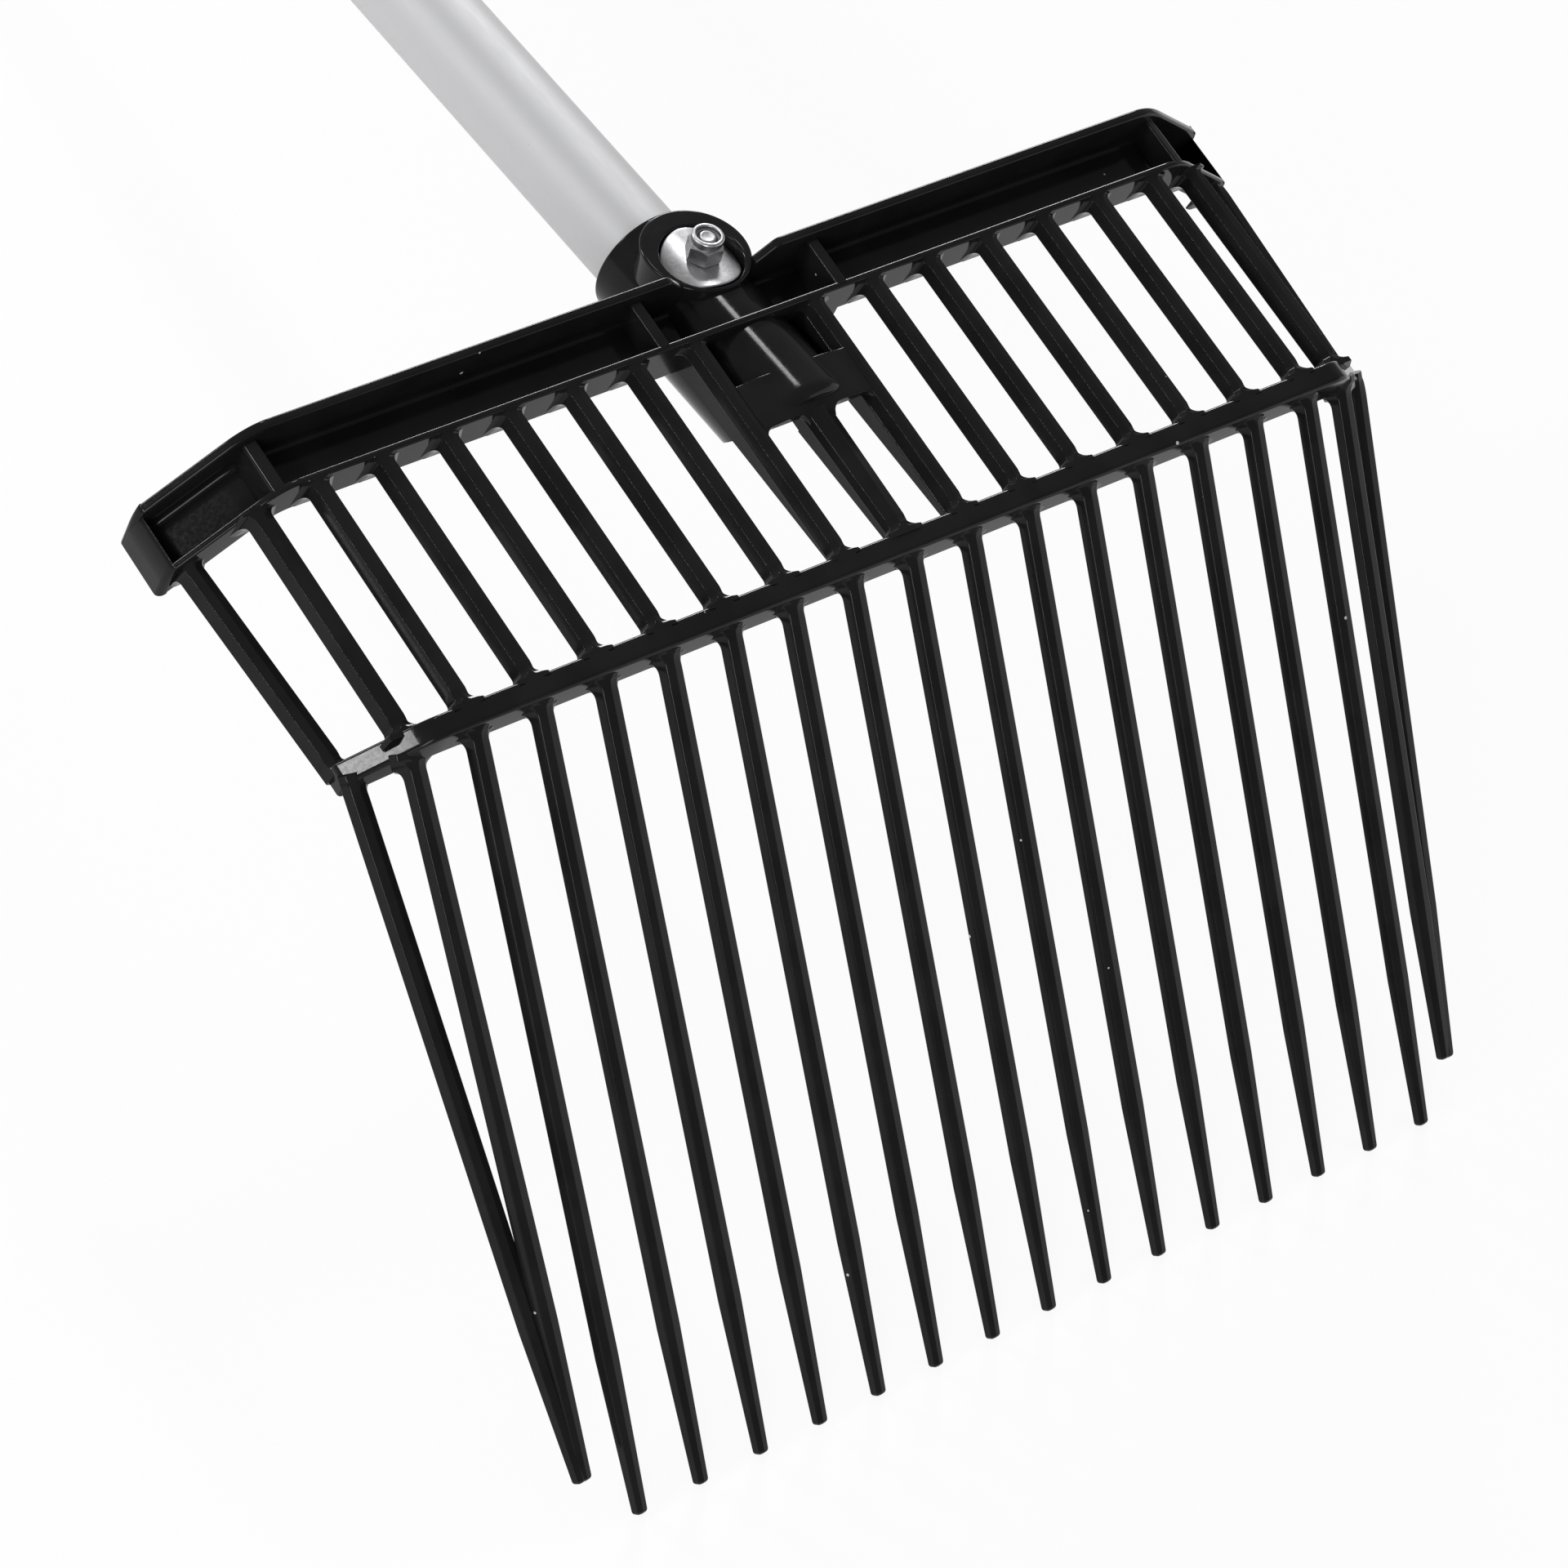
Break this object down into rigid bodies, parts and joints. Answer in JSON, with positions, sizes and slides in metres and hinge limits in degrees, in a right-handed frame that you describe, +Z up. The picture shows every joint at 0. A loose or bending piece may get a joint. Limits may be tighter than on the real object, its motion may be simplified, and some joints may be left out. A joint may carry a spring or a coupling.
{
  "type": "manure fork",
  "caption": "Stable fork with a bent comb head of glossy black moulded tines, bolted onto a round satin metal tube handle.",
  "frame": {"origin": "centre of the footprint, on the floor that the fork lies on", "axes": "+X across the head, +Y from the tips of the tines towards the free end of the handle, +Z up out of the back of the head"},
  "size_m": [0.394, 1.4354, 0.1873],
  "materials": {
    "black_plastic": "glossy moulded black",
    "satin_tube": "satin",
    "zinc_plate": "bright zinc plate",
    "nylon": "plain"
  },
  "bodies": {
    "root": {"rear_beam_left": "black_plastic", "rear_beam_right": "black_plastic", "handle_socket": "black_plastic", "crossbar": "black_plastic", "upper_bar_01": "black_plastic", "upper_bar_02": "black_plastic", "upper_bar_03": "black_plastic", "upper_bar_04": "black_plastic", "upper_bar_05": "black_plastic", "upper_bar_06": "black_plastic", "upper_bar_07": "black_plastic", "upper_bar_08": "black_plastic", "upper_bar_09": "black_plastic", "upper_bar_10": "black_plastic", "upper_bar_11": "black_plastic", "upper_bar_12": "black_plastic", "upper_bar_13": "black_plastic", "upper_bar_14": "black_plastic", "upper_bar_15": "black_plastic", "upper_bar_16": "black_plastic", "upper_bar_17": "black_plastic", "upper_bar_18": "black_plastic", "upper_bar_19": "black_plastic", "tine_01": "black_plastic", "tine_02": "black_plastic", "tine_03": "black_plastic", "tine_04": "black_plastic", "tine_05": "black_plastic", "tine_06": "black_plastic", "tine_07": "black_plastic", "tine_08": "black_plastic", "tine_09": "black_plastic", "tine_10": "black_plastic", "tine_11": "black_plastic", "tine_12": "black_plastic", "tine_13": "black_plastic", "tine_14": "black_plastic", "tine_15": "black_plastic", "tine_16": "black_plastic", "tine_17": "black_plastic", "tine_18": "black_plastic", "tine_19": "black_plastic", "handle_tube": "satin_tube", "clamp_bolt": "zinc_plate", "saddle_washer": "zinc_plate", "lock_nut": "zinc_plate", "nut_insert": "nylon"}
  },
  "joints": []
}
